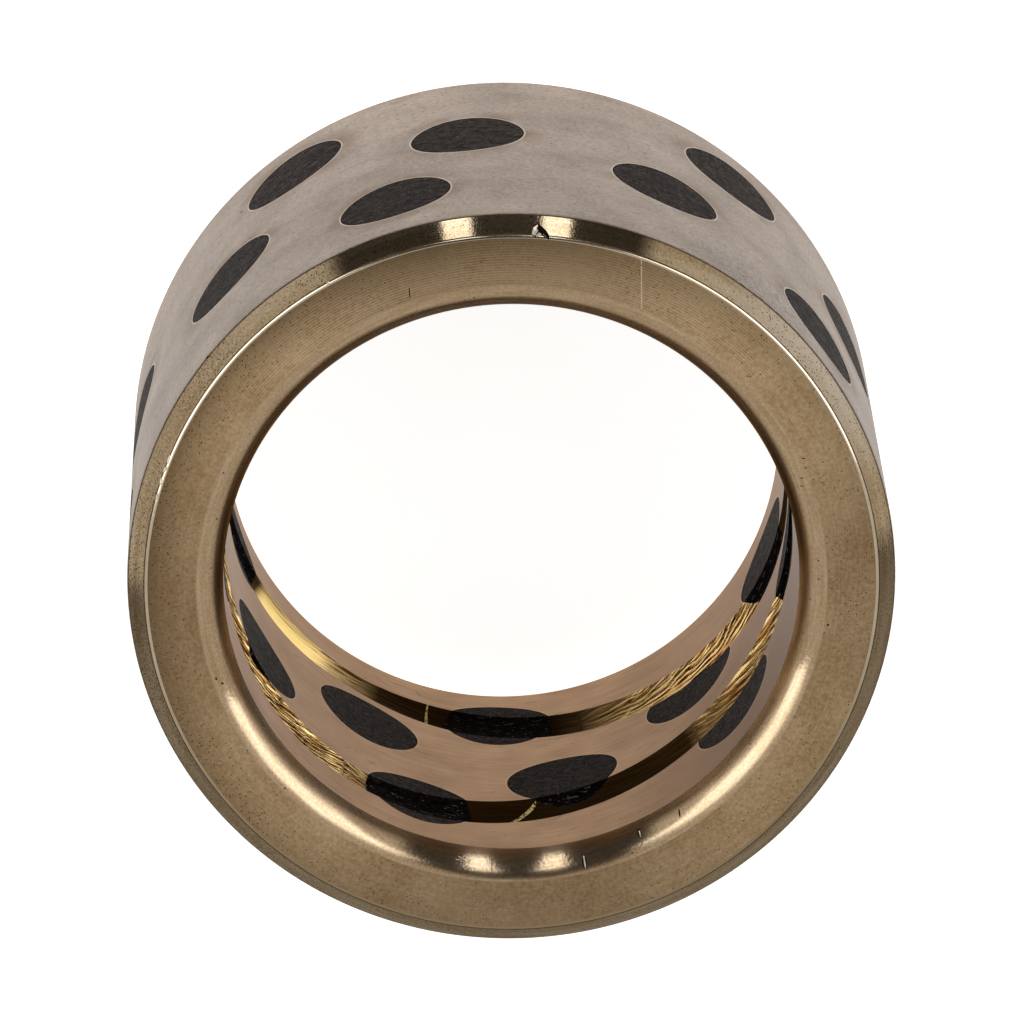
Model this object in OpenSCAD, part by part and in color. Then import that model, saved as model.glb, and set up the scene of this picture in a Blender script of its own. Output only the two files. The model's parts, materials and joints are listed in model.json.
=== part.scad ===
// Plain bearing bushing: a turned bronze sleeve with round graphite plugs set through its wall,
// and a figure-eight oil groove cut round its bore. The axis is Z and the bottom end face is Z = 0.

/* [Sleeve] */
// Bore diameter, which runs on the shaft
bore_d = 60; // [46:0.5:68]
// Thickness of the wall, so that the outside is pressed into a housing of the bore and two walls
wall = 10; // [6:0.5:25]
// Length between the two end faces
length = 52; // [48:0.5:90]
// Size of the 45 degree chamfer on both outer edges
edge_chamfer = 1.9; // [0.5:0.1:4]
// Radius of the lead-in round on both bore edges
bore_round = 2.8; // [0.5:0.1:4]

/* [Graphite plugs] */
// Plug diameter
plug_d = 12; // [5:0.5:14]
// Plugs in each row round the sleeve
plugs_per_row = 5; // [3:1:6]
// Height from one row of plugs to the next
row_pitch = 9; // [7:0.5:10]
// Turn of the bottom row round the sleeve
bottom_turn = 85; // [0:0.5:360]
// Turn from each row to the next as they were drilled, from the bottom row up
row_steps = [-28.5, -30.5, -30]; // [-34:0.5:-26]
// Height of the pattern's middle above the middle of the sleeve
pattern_shift = -0.5; // [-2:0.1:2]
// Glue film between a plug and its hole
plug_film = 0.02; // [0.01:0.01:0.1]

/* [Oil groove] */
// Radius of the ball-nosed cutter
cutter_r = 5; // [3:0.5:8]
// Depth of the groove below the bore
groove_depth = 1.25; // [0.8:0.05:2.5]
// Height that each loop of the eight climbs from the crossing
groove_reach = 14.7; // [6:0.1:17]
// Angle round the sleeve at which both loops turn back
groove_turn = 54; // [0:1:359]
// Angle over which a loop bends back instead of coming to a point
turn_bend = 20; // [5:1:60]
// How much shallower the groove is where it turns back
turn_lift = 0.55; // [0:0.05:0.75]
// Angle over which the groove gets shallower
turn_fade = 14; // [5:1:40]

/* [Hidden] */
$fn = 96;
bore_r = bore_d / 2;
outside_r = bore_r + wall;
plug_r = plug_d / 2;
pattern_middle = length / 2 + pattern_shift;
rows = len(row_steps) + 1;
plug_pitch = 360 / plugs_per_row;
half_turn = 180;
// Overlap that carries a cut past the face it opens
past = wall / 10;
// A plug's edge meets the bore nearer the axis than its middle does
bar_start = sqrt(pow(bore_r, 2) - pow(plug_r, 2)) - past;
// Rings of points along one loop of the groove
loop_rings = 72;
ring_step = 360 / loop_rings;
// Arc of the cutter on each side of its deepest point, past where it comes out of the wall
cutter_arc = acos(1 - (groove_depth + past) / cutter_r);
cutter_steps = 9;
arc_points = cutter_steps + 1;
// Climb of the groove for each degree, so that its two loops meet at the crossing
climb = groove_reach / (norm([half_turn, turn_bend]) - turn_bend);

function plug_name(row, place) = str("plug_row", row + 1, "_", place + 1);

function row_height(row) = pattern_middle + (row - (rows - 1) / 2) * row_pitch;
function row_turn(row) = row == 0 ? bottom_turn : row_turn(row - 1) + row_steps[row - 1];
function plug_angle(row, place) = row_turn(row) + place * plug_pitch;

// Angle of a ring from the groove's crossing, and the same from its turn, between -180 and 180
function from_crossing(ring) = (ring + 0.5) * ring_step;
function from_turn(ring) = (from_crossing(ring) % 360 + 360) % 360 - half_turn;
function loop_height(ring) = climb * (norm([half_turn, turn_bend]) - norm([from_turn(ring), turn_bend]));
function loop_depth(ring) = groove_depth - turn_lift * exp(-pow(from_turn(ring) / turn_fade, 2));

// One point of the cutter's outline: side is 1 for the upper loop of the eight and -1 for the lower
function groove_point(side, ring, step) =
    let (
        turn = groove_turn + half_turn + from_crossing(ring),
        swing = cutter_arc * (2 * step / cutter_steps - 1),
        radius = bore_r + loop_depth(ring) - cutter_r + cutter_r * cos(swing)
    )
    [
        radius * cos(turn),
        radius * sin(turn),
        pattern_middle + side * loop_height(ring) + cutter_r * sin(swing)
    ];

// The space that the cutter clears from one ring to another, or all the way round
module groove_cut(side, first, last) {
    closed = last - first == loop_rings;
    rings = closed ? loop_rings : last - first + 1;
    spans = closed ? rings : rings - 1;
    points = [
        for (ring = [first : first + rings - 1], step = [0 : cutter_steps]) groove_point(side, ring, step)
    ];
    function at(ring, step) = (ring % rings) * arc_points + step % arc_points;
    walls = [
        for (ring = [0 : spans - 1], step = [0 : cutter_steps])
            each [
                [at(ring, step), at(ring, step + 1), at(ring + 1, step + 1)],
                [at(ring, step), at(ring + 1, step + 1), at(ring + 1, step)]
            ]
    ];
    start_cap = [for (step = [cutter_steps : -1 : 0]) at(0, step)];
    end_cap = [for (step = [0 : cutter_steps]) at(rings - 1, step)];
    polyhedron(points, closed ? walls : concat(walls, [start_cap, end_cap]));
}

// A round bar through the wall at one plug's place, clear of the bars beside it
module plug_bar(row, place, r) {
    rotate([0, 0, plug_angle(row, place)])
        translate([bar_start, 0, row_height(row)])
            rotate([0, 90, 0])
                cylinder(r = r, h = outside_r + past - bar_start);
}

module sleeve_section() {
    polygon([
        [bore_r + bore_round, 0],
        [outside_r - edge_chamfer, 0],
        [outside_r, edge_chamfer],
        [outside_r, length - edge_chamfer],
        [outside_r - edge_chamfer, length],
        [bore_r + bore_round, length],
        [bore_r + bore_round, length - bore_round],
        [bore_r, length - bore_round],
        [bore_r, bore_round],
        [bore_r + bore_round, bore_round]
    ]);
    for (height = [bore_round, length - bore_round])
        translate([bore_r + bore_round, height])
            circle(r = bore_round);
}

// The bronze sleeve, turned and bored as one piece
module turned_sleeve() {
    rotate_extrude()
        sleeve_section();
}

// The sleeve drilled right through its wall for every plug
module drilled_sleeve() {
    difference() {
        turned_sleeve();
        for (row = [0 : rows - 1], place = [0 : plugs_per_row - 1])
            plug_bar(row, place, plug_r);
    }
}

// Each loop of the eight is cut by itself, and they cross on the side away from the turn
module sleeve() {
    color("#a8967c")
        difference() {
            difference() {
                drilled_sleeve();
                groove_cut(1, 0, loop_rings);
            }
            groove_cut(-1, 0, loop_rings);
        }
}

// A plug as it is machined flush with the outside and the bore
module flush_plug(row, place) {
    difference() {
        intersection() {
            plug_bar(row, place, plug_r - plug_film);
            cylinder(r = outside_r, h = length);
        }
        translate([0, 0, -past])
            cylinder(r = bore_r, h = length + 2 * past);
    }
}

// One graphite plug, cut by the groove together with the sleeve
module plug(row, place) {
    rings_beside = ceil(asin(plug_r / bore_r) / ring_step) + 1;
    middle_ring = round((plug_angle(row, place) - groove_turn - half_turn) / ring_step);
    color("#3a3636")
        difference() {
            difference() {
                flush_plug(row, place);
                groove_cut(1, middle_ring - rings_beside, middle_ring + rings_beside);
            }
            groove_cut(-1, middle_ring - rings_beside, middle_ring + rings_beside);
        }
}

sleeve();
for (row = [0 : rows - 1], place = [0 : plugs_per_row - 1])
    plug(row, place);
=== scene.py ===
import bmesh
import bpy
import json
from math import acos, atan2, cos, exp, hypot, pi, radians, sin, sqrt, tan, tau
from mathutils import Matrix, Vector


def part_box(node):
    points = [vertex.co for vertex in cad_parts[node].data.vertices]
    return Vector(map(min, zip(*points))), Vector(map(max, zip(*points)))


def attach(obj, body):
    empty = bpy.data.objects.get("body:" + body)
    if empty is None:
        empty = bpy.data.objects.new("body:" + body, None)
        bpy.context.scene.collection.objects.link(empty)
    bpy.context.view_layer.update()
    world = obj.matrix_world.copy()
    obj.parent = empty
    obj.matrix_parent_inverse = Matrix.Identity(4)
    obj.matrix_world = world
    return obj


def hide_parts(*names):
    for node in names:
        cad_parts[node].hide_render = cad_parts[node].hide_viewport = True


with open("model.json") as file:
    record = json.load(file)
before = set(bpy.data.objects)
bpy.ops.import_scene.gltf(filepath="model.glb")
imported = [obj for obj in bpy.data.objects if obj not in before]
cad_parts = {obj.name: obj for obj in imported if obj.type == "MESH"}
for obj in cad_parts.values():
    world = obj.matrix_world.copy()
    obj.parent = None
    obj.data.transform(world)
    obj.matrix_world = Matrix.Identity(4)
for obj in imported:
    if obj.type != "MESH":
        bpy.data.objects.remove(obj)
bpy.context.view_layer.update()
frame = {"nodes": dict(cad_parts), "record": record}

# Bronze sleeve
# One ring of cast tin bronze, turned outside, faced and bored on a lathe. Its outer edges are
# chamfered, its bore edges burnished round, its wall is drilled for the plugs, and a ball-nosed
# cutter has milled a figure-eight oil groove round the bore.
MM = 0.001
mounts = {mount["name"]: mount for mount in frame["record"]["mounts"]}
bore_radius = mounts["bore"]["dims"]["r_mm"] * MM
outside_radius = mounts["outside"]["dims"]["r_mm"] * MM
sleeve_bottom, sleeve_top = (corner.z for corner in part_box("sleeve"))
edge_chamfer = (sleeve_top - sleeve_bottom - mounts["outside"]["dims"]["length_mm"] * MM) / 2
bore_round = (sleeve_top - sleeve_bottom - mounts["bore"]["dims"]["length_mm"] * MM) / 2
edge_break = 0.25 * MM
turning_steps = 360
round_steps = 24
# The burnished round ends short of the bore's own slope, in a corner: the slope in degrees that it
# ends with, how soon it gets there, and how far it goes down
round_slope = 62
round_haste = 1.6
round_drop = 2.45 * MM

# Numbers of the sleeve's finishes, in the order of its material slots
OUTSIDE, CHAMFER, END_FACE, ROUND, BORE, GROOVE, HOLE, NICK, EDGE, SHADOW_LINE, DIRT_AND_SHADE = range(11)


def round_curve():
    """Points of the round as (inwards, downwards) from the end face's inner edge."""
    points = [(0, 0)]
    for step in range(round_steps):
        share = (step + 0.5) / round_steps
        slope = radians(round_slope) * (1 - (1 - share) ** round_haste)
        points.append((points[-1][0] + cos(slope), points[-1][1] + sin(slope)))
    width, drop = points[-1]
    return [(x / width * bore_round, y / drop * round_drop) for x, y in points]


round_points = round_curve()


def sleeve_outline():
    """Corners of the wall's section as (radius, height), up the outside and down the bore."""
    corners = [
        (outside_radius - edge_chamfer, sleeve_bottom),
        (outside_radius, sleeve_bottom + edge_chamfer),
        (outside_radius, sleeve_top - edge_chamfer),
        (outside_radius - edge_chamfer, sleeve_top),
    ]
    face_edge = bore_radius + bore_round
    corners += [(face_edge - inwards, sleeve_top - down) for inwards, down in round_points]
    corners += [(face_edge - inwards, sleeve_bottom + down) for inwards, down in round_points[::-1]]
    return corners


def finish_at(radius, height):
    """Which of the lathe's cuts left the surface at this radius and height."""
    from_end = min(height - sleeve_bottom, sleeve_top - height)
    if radius < bore_radius + bore_round:
        return ROUND if from_end < round_drop else BORE
    if from_end < edge_break / 50:
        return END_FACE
    from_outside = outside_radius - radius
    on_slope = abs(from_end + from_outside - edge_chamfer) < edge_break / 100
    if on_slope:
        return CHAMFER
    if min(from_end, from_outside) > edge_break / 3:
        # The strip beside the chamfer is painted as a thin line of shadow
        return SHADOW_LINE
    return EDGE if from_end < from_outside else OUTSIDE


def round_normal(radius, height):
    """Way that the round faces at this radius and height, as a vector (out, 0, up)."""
    up = 1 if height > (sleeve_bottom + sleeve_top) / 2 else -1
    inwards = bore_radius + bore_round - radius
    if inwards < round_points[1][0] / 2:
        return Vector((0, 0, up))
    here = min(range(1, round_steps), key=lambda step: abs(round_points[step][0] - inwards))
    before, after = round_points[here - 1], round_points[here + 1]
    return Vector((before[1] - after[1], 0, up * (after[0] - before[0]))).normalized()


def corner_normal(radius, height):
    """The same for the broken corners beside the chamfer."""
    up = 1 if height > (sleeve_bottom + sleeve_top) / 2 else -1
    from_end = min(height - sleeve_bottom, sleeve_top - height)
    # They are arcs, whose middles lie this deep
    bend = edge_break / tan(pi / 8)
    if from_end < edge_chamfer / 2:
        middle_radius, middle_depth = outside_radius - edge_chamfer - edge_break, bend
    else:
        middle_radius, middle_depth = outside_radius - bend, edge_chamfer + edge_break
    return Vector((radius - middle_radius, 0, up * (middle_depth - from_end))).normalized()


def turned_sleeve():
    bm = bmesh.new()
    ring = [bm.verts.new((radius, 0, height)) for radius, height in sleeve_outline()]
    edges = [bm.edges.new((a, b)) for a, b in zip(ring, ring[1:] + ring[:1])]
    bmesh.ops.spin(
        bm, geom=ring + edges, cent=(0, 0, 0), axis=(0, 0, 1), angle=tau,
        steps=turning_steps, use_merge=True,
    )
    bmesh.ops.remove_doubles(bm, verts=bm.verts, dist=edge_break / 100)
    corner_radii = (outside_radius - edge_chamfer, outside_radius)
    corner_edges = [
        edge for edge in bm.edges
        if abs(edge.verts[0].co.z - edge.verts[1].co.z) < edge_break / 10
        and min(abs(edge.verts[0].co.xy.length - radius) for radius in corner_radii) < edge_break / 10
        and abs(edge.verts[0].co.xy.length - edge.verts[1].co.xy.length) < edge_break / 10
    ]
    bmesh.ops.bevel(
        bm, geom=corner_edges, offset=edge_break, segments=3, profile=0.5,
        affect="EDGES", material=-1,
    )
    bmesh.ops.recalc_face_normals(bm, faces=bm.faces)
    for face in bm.faces:
        middle = face.calc_center_median()
        face.material_index = finish_at(middle.xy.length, middle.z)
    return bm


def add_piece(name, bm, finishes):
    """Makes an object of the mesh and gives it its finishes as material slots."""
    mesh = bpy.data.meshes.new(name)
    bm.to_mesh(mesh)
    bm.free()
    piece = bpy.data.objects.new(name, mesh)
    bpy.context.scene.collection.objects.link(piece)
    for finish in finishes:
        mesh.materials.append(finish)
    return piece


cut_tries = 3
hair_turn = radians(0.03)


def closed_volume(mesh):
    """Volume that the mesh encloses, or 0 if it is open anywhere."""
    bm = bmesh.new()
    bm.from_mesh(mesh)
    volume = bm.calc_volume(signed=True) if all(edge.is_manifold for edge in bm.edges) else 0
    bm.free()
    return volume


def cut_with(piece, tool, operation="DIFFERENCE", crossed=False):
    """Cuts the piece with the tool's shape, or joins them, and parts of either may be crossed. What
    a tool cuts takes the number of its finish. Both are made of triangles first, because that gave
    closed results. One that is open, or less than half of the piece, has gone wrong, and is made
    again with the tool turned by a hair. There are up to three tries, and the last one stands."""
    for part in (piece, tool):
        bm = bmesh.new()
        bm.from_mesh(part.data)
        bmesh.ops.triangulate(bm, faces=bm.faces)
        bm.to_mesh(part.data)
        bm.free()
    cut = piece.modifiers.new("cut", "BOOLEAN")
    cut.operation = operation
    cut.solver = "EXACT"
    cut.use_self = crossed
    cut.object = tool
    cut.material_mode = "INDEX"
    before = closed_volume(piece.data)
    for tried in range(cut_tries):
        tool.rotation_euler.z = tried * hair_turn
        bpy.context.view_layer.update()
        cut_piece = piece.evaluated_get(bpy.context.evaluated_depsgraph_get())
        mesh = bpy.data.meshes.new_from_object(cut_piece)
        if closed_volume(mesh) > before / 2:
            break
    tool.rotation_euler.z = 0
    piece.modifiers.clear()
    piece.data = mesh


# The rows of holes, read from the plugs of the frame
plug_places = {}
for name, node in frame["nodes"].items():
    if name.startswith("plug_"):
        low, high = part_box(name)
        rim = {
            (round(v.co.x, 6), round(v.co.y, 6), round(v.co.z, 6))
            for v in node.data.vertices
            if v.co.xy.length > outside_radius - edge_break / 10
        }
        turn = atan2(sum(y for x, y, z in rim), sum(x for x, y, z in rim))
        plug_places[name] = (turn, (low.z + high.z) / 2, (high.z - low.z) / 2)
hole_radius = 6 * MM
hole_segments = 96
overlap = 1 * MM


def wall_bars(places, radius, finish):
    """A round bar through the wall at each place, clear of the bars beside it."""
    bm = bmesh.new()
    start = sqrt(bore_radius ** 2 - radius ** 2) - overlap
    depth = outside_radius + overlap - start
    for turn, height in places:
        along = Matrix.Translation((0, 0, height)) @ Matrix.Rotation(turn, 4, "Z")
        along = along @ Matrix.Translation((start + depth / 2, 0, 0)) @ Matrix.Rotation(pi / 2, 4, "Y")
        bmesh.ops.create_cone(
            bm, cap_ends=True, segments=hole_segments, radius1=radius, radius2=radius,
            depth=depth, matrix=along,
        )
    bmesh.ops.recalc_face_normals(bm, faces=bm.faces)
    for face in bm.faces:
        face.material_index = finish
    return bm


# The oil groove: two loops of a figure eight, which cross opposite to their turns
cutter_radius = 5 * MM
groove_depth = 1.25 * MM
groove_reach = 14.7 * MM
groove_turn = radians(54)
turn_bend = radians(20)
turn_lift = 0.55 * MM
turn_fade = radians(14)
pattern_middle = sum(place[1] for place in plug_places.values()) / len(plug_places)
groove_rings = 432
cutter_arc = acos(1 - (groove_depth + overlap) / cutter_radius)
cutter_steps = 96
climb = groove_reach / (hypot(pi, turn_bend) - turn_bend)


def from_turn(angle):
    """Angle from the point where both loops turn back, between -pi and pi."""
    return (angle - groove_turn + pi) % tau - pi


def loop_height(side, angle):
    return pattern_middle + side * climb * (hypot(pi, turn_bend) - hypot(from_turn(angle), turn_bend))


def loop_depth(angle):
    return groove_depth - turn_lift * exp(-((from_turn(angle) / turn_fade) ** 2))


def nearer_loop(angle, height):
    return min((1, -1), key=lambda side: abs(loop_height(side, angle) - height))


# Stops round the bore as (degrees, value), for the upper and the lower loop: how the cutter's
# strands slant off the groove, in degrees, how deep they are, and how much graphite smear and painted
# shade darken it
strand_slants = {
    1: [(0, -11), (51, 13), (57, 4), (127, 14)],
    -1: [(0, 0), (102, -11), (150, -8)],
}
strand_depths = {
    1: [(0, 1), (57, 1), (59, 0.3), (76, 0.3), (79, 0), (124, 0), (128, 1), (360, 1)],
    -1: [(0, 0), (44, 0), (50, 0.7), (58, 0.7), (62, 0), (101, 0), (105, 1), (150, 1), (153, 0.3),
         (360, 0.3)],
}
# Graphite smear together with painted shade: near 1, the floor is painted near black
smear_and_shade_stops = {
    1: [(0, 0), (50, 0), (52, 0.1), (56, 0.3), (58, 0.9), (78, 0.985), (112, 0.975), (125, 0.95),
        (129, 0.5), (140, 0.2), (157, 0.15), (159, 0), (161, 0.4), (200, 0.95), (360, 0.5)],
    -1: [(0, 0.99), (21, 0.98), (25, 0.85), (28, 0), (45, 0), (48, 0.3), (56, 0.6), (60, 0.94),
         (76, 0.985), (97, 0.985), (102, 0.9), (106, 0.6), (112, 0.35), (120, 0.15), (129, 0), (146, 0),
         (150, 0.3), (152, 0.95), (360, 0.98)],
}
# The same for where the cutter left a smooth and duller floor
smooth_cuts = {
    1: [(0, 0), (360, 0)],
    -1: [(0, 0), (25, 0), (28, 1), (43, 1), (48, 0), (360, 0)],
}
strand_pitch = 0.55
strand_height = 0.12 * MM


def along_stops(stops, angle):
    """Value at an angle in radians, between the stops on either side of it."""
    degrees = angle / pi * 180 % 360
    for (low, low_value), (high, high_value) in zip(stops, stops[1:]):
        if degrees <= high:
            return low_value + (high_value - low_value) * (degrees - low) / (high - low)
    return stops[-1][1]


def strand_place(side, angle, height):
    """Place on the groove's floor in mm, as (along the strands, across them)."""
    degrees = angle / pi * 180 % 360
    slant = radians([slant for start, slant in strand_slants[side] if start <= degrees][-1])
    run = angle * bore_radius / MM
    rise = (height - loop_height(side, angle)) / MM
    return run * cos(slant) + rise * sin(slant), rise * cos(slant) - run * sin(slant)


def groove_cutter(side):
    """The space that the cutter clears on one loop: a ring of its outline, bent to the loop."""
    bm = bmesh.new()
    outline = []
    for step in range(cutter_steps + 1):
        swing = cutter_arc * (2 * step / cutter_steps - 1)
        outline.append(bm.verts.new((
            bore_radius - cutter_radius + cutter_radius * cos(swing), 0, cutter_radius * sin(swing),
        )))
    edges = [bm.edges.new((a, b)) for a, b in zip(outline, outline[1:] + outline[:1])]
    bmesh.ops.spin(
        bm, geom=outline + edges, cent=(0, 0, 0), axis=(0, 0, 1), angle=tau,
        steps=groove_rings, use_merge=True,
    )
    bmesh.ops.remove_doubles(bm, verts=bm.verts, dist=edge_break / 100)
    for vert in bm.verts:
        angle = atan2(vert.co.y, vert.co.x) % tau
        vert.co.z += loop_height(side, angle)
        along, across = strand_place(side, angle, vert.co.z)
        wander = across + 0.16 * sin(along * 0.7) + 0.1 * sin(along * 1.4 + across * 1.7)
        valley = cos(pi * wander / strand_pitch) ** 4
        ridges = strand_height * valley * along_stops(strand_depths[side], angle)
        vert.co += Vector((cos(angle), sin(angle), 0)) * (loop_depth(angle) + ridges)
    bmesh.ops.recalc_face_normals(bm, faces=bm.faces)
    for face in bm.faces:
        face.material_index = GROOVE
    return bm


# Nicks and scratches: turn in degrees, radius and height in mm, slant off the way round in
# degrees, then length, width and depth in mm.
nick_layers = [
    # Dirt and painted shade: these lumps cut hollows that are painted near black
    (DIRT_AND_SHADE, [
        # Black edges beside the ticks on the round, painted as shade
        (100.5, 31.9, 51.3, 86, 2.1, 0.62, 0.24),
        (112.3, 31.2, 50.8, 84, 1.4, 0.5, 0.2),
        (121.1, 31.3, 50.9, 70, 1.2, 0.22, 0.12),
        # The dark half of the dent, painted near black as the shade in its slit, and the painted shadow
        # round its bright half
        (261.8, 38.5, 51.55, -50, 2.3, 0.8, 0.5),
        (262.9, 38.6, 51.4, 70, 2, 1.1, 0.2),
        # Marks and pits on the end face, dark with dirt and painted shade
        (284.8, 33.7, 52, 75, 1.5, 0.14, 0.06),
        (201.2, 33.2, 52, 70, 0.45, 0.15, 0.08),
        (199.4, 33.0, 52, 60, 0.35, 0.15, 0.08),
        (197.8, 32.2, 51.9, 75, 0.45, 0.15, 0.08),
        (196.3, 31.9, 51.7, 60, 0.45, 0.15, 0.08),
        (168.9, 33.2, 52, 0, 0.32, 0.28, 0.12),
        (14.5, 32.4, 51.9, 0, 0.35, 0.25, 0.12),
        (15.8, 32, 51.7, 40, 0.4, 0.25, 0.12),
        # The chamfer's outer edge, and a pore in the outside
        (318.5, 39.9, 50.15, 0, 0.6, 0.35, 0.15),
        (311.2, 40, 11.46, 0, 0.5, 0.4, 0.2),
    ]),
    (NICK, [
        # The bright half of the dent, and a ridge left in its dark half
        (263.0, 38.6, 51.4, 72, 1.6, 0.75, 0.3),
        (262.3, 38.3, 51.7, 40, 1.2, 0.45, 0.4),
        (261.6, 38.4, 51.65, -55, 1.3, 0.16, 0.6),
        # Ticks on the round
        (100.5, 31.9, 51.3, 86, 1.8, 0.26, 0.34),
        (112.3, 31.2, 50.8, 84, 1.1, 0.22, 0.28),
        (77.8, 31.25, 50.8, 15, 0.9, 0.16, 0.12),
        (77.2, 31.05, 50.65, 70, 0.7, 0.14, 0.12),
        (76.6, 31.2, 50.75, -25, 0.7, 0.14, 0.12),
        (76.1, 31.4, 50.9, 10, 0.6, 0.13, 0.12),
        (78.5, 31.35, 50.85, 50, 0.5, 0.13, 0.12),
        # The broken stretch of the corner on the left, and a nick above it
        (334.9, 38.2, 51.88, 10, 1.2, 0.35, 0.14),
        (336.6, 38.15, 51.9, -15, 0.9, 0.45, 0.16),
        (338.7, 38.15, 51.92, 12, 1.1, 0.4, 0.14),
        (341.2, 38.1, 51.95, -8, 0.9, 0.35, 0.14),
        (344.2, 38.05, 51.98, 15, 0.8, 0.3, 0.12),
        (296.3, 38.15, 51.93, 5, 0.45, 0.35, 0.12),
    ]),
]


def closest_on(spot, start, end):
    """Nearest point to the spot on a straight line from start to end."""
    start, end = Vector(start), Vector(end)
    share = (spot - start).dot(end - start) / (end - start).length_squared
    return start + (end - start) * min(max(share, 0), 1)


def outline_normal(radius, height):
    """Way that a nick is sunk at this radius and height, square to the surface there."""
    finish = finish_at(radius, height)
    if finish == CHAMFER:
        return Vector((1, 0, 1)).normalized()
    if finish in (END_FACE, OUTSIDE):
        return Vector((0, 0, 1)) if finish == END_FACE else Vector((1, 0, 0))
    return round_normal(radius, height) if finish == ROUND else corner_normal(radius, height)


def nick_cutter(finish, nicks):
    """A small faceted lump for each nick, sunk in the surface to the nick's depth."""
    bm = bmesh.new()
    outline = sleeve_outline()
    for turn, radius, height, slant, length, width, depth in nicks:
        spot = Vector((radius, height)) * MM
        # Onto the nearest point of the section
        spans = zip(outline, outline[1:])
        spot = min((closest_on(spot, a, b) for a, b in spans), key=lambda near: (near - spot).length)
        facing = outline_normal(spot.x, spot.y)
        around = Vector((0, 1, 0))
        up_section = facing.cross(around)
        frame_here = Matrix((around, up_section, facing)).transposed().to_4x4()
        place = Matrix.Rotation(radians(turn), 4, "Z") @ Matrix.Translation((spot.x, 0, spot.y))
        size = Matrix.Diagonal((length * MM / 2, width * MM / 2, depth * MM, 1))
        turned = place @ frame_here @ Matrix.Rotation(radians(slant), 4, "Z")
        bmesh.ops.create_icosphere(bm, subdivisions=1, radius=1, matrix=turned @ size)
    bmesh.ops.recalc_face_normals(bm, faces=bm.faces)
    for face in bm.faces:
        face.material_index = finish
    return bm


def true_normals(piece):
    """Gives each turned surface the normals of its true round form, and the groove smooth ones."""
    mesh = piece.data
    mesh.polygons.foreach_set("use_smooth", [True] * len(mesh.polygons))
    for edge in mesh.edges:
        edge.use_edge_sharp = False
    groove_normals = {}
    hole_normals = {}
    for face in mesh.polygons:
        if face.material_index in (GROOVE, HOLE):
            kept = groove_normals if face.material_index == GROOVE else hole_normals
            for vertex in face.vertices:
                kept[vertex] = kept.get(vertex, Vector()) + face.normal * face.area
    normals = []
    for face in mesh.polygons:
        up = Vector((0, 0, 1 if face.center.z > (sleeve_bottom + sleeve_top) / 2 else -1))
        for vertex in face.vertices:
            spot = mesh.vertices[vertex].co
            around = Vector((spot.x, spot.y, 0)).normalized()
            if face.material_index == GROOVE:
                normals.append(groove_normals[vertex].normalized())
            elif face.material_index == HOLE:
                normals.append(hole_normals[vertex].normalized())
            elif face.material_index in (NICK, DIRT_AND_SHADE):
                normals.append(face.normal.copy())
            elif face.material_index == OUTSIDE:
                normals.append(around)
            elif face.material_index == BORE:
                normals.append(-around)
            elif face.material_index == END_FACE:
                normals.append(up)
            elif face.material_index == CHAMFER:
                normals.append((around + up).normalized())
            else:
                curve = round_normal if face.material_index == ROUND else corner_normal
                facing = curve(spot.xy.length, spot.z)
                normals.append(around * facing.x + Vector((0, 0, facing.z)))
    mesh.normals_split_custom_set(normals)


# sRGB hex colours turned linear
def paint(code):
    shades = [int(code[i : i + 2], 16) / 255 for i in (1, 3, 5)]
    return (*(s / 12.92 if s <= 0.04045 else ((s + 0.055) / 1.055) ** 2.4 for s in shades), 1)


def set_inputs(tree, node, inputs):
    """Sets a node's inputs to values, or links them to sockets or to other nodes' own outputs."""
    for name, value in inputs.items():
        if isinstance(value, bpy.types.Node):
            value = next(socket for socket in value.outputs if socket.enabled)
        if isinstance(value, bpy.types.NodeSocket):
            tree.links.new(value, node.inputs[name])
        else:
            node.inputs[name].default_value = value


def add_node(tree, kind, inputs=None, **settings):
    """Adds a node, sets its options, and sets or links its inputs."""
    node = tree.nodes.new(kind)
    for name, value in settings.items():
        setattr(node, name, value)
    set_inputs(tree, node, inputs or {})
    return node


def two_paints(tree, tone, low, high, dark, light):
    """The tone spread from 0 to 1 between two of its values, and the colour that it then mixes."""
    spread = add_node(tree, "ShaderNodeMapRange", {"Value": tone, "From Min": low, "From Max": high})
    mixed = add_node(
        tree, "ShaderNodeMix", {0: spread, 6: paint(dark), 7: paint(light)}, data_type="RGBA"
    )
    return spread, mixed


def covered(tree, colour, layers):
    """The colour under layers, each one a share from 0 to 1 and the layer's own colour."""
    for share, cover in layers:
        colour = add_node(tree, "ShaderNodeMix", {0: share, 6: colour, 7: cover}, data_type="RGBA")
    return colour


def new_finish(name):
    """A material, its tree, its shader, and the place on the piece in millimetres."""
    finish = bpy.data.materials.new(name)
    finish.use_nodes = True
    tree = finish.node_tree
    place = add_node(tree, "ShaderNodeTexCoord").outputs["Object"]
    place = add_node(
        tree, "ShaderNodeVectorMath", {0: place, 1: (1 / MM, 1 / MM, 1 / MM)}, operation="MULTIPLY"
    )
    return finish, tree, tree.nodes["Principled BSDF"], place


def from_axis(tree, place):
    """Distance of the place from the sleeve's axis in mm."""
    flat = add_node(tree, "ShaderNodeVectorMath", {0: place, 1: (1, 1, 0)}, operation="MULTIPLY")
    return add_node(tree, "ShaderNodeVectorMath", {0: flat.outputs[0]}, operation="LENGTH")


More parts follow.
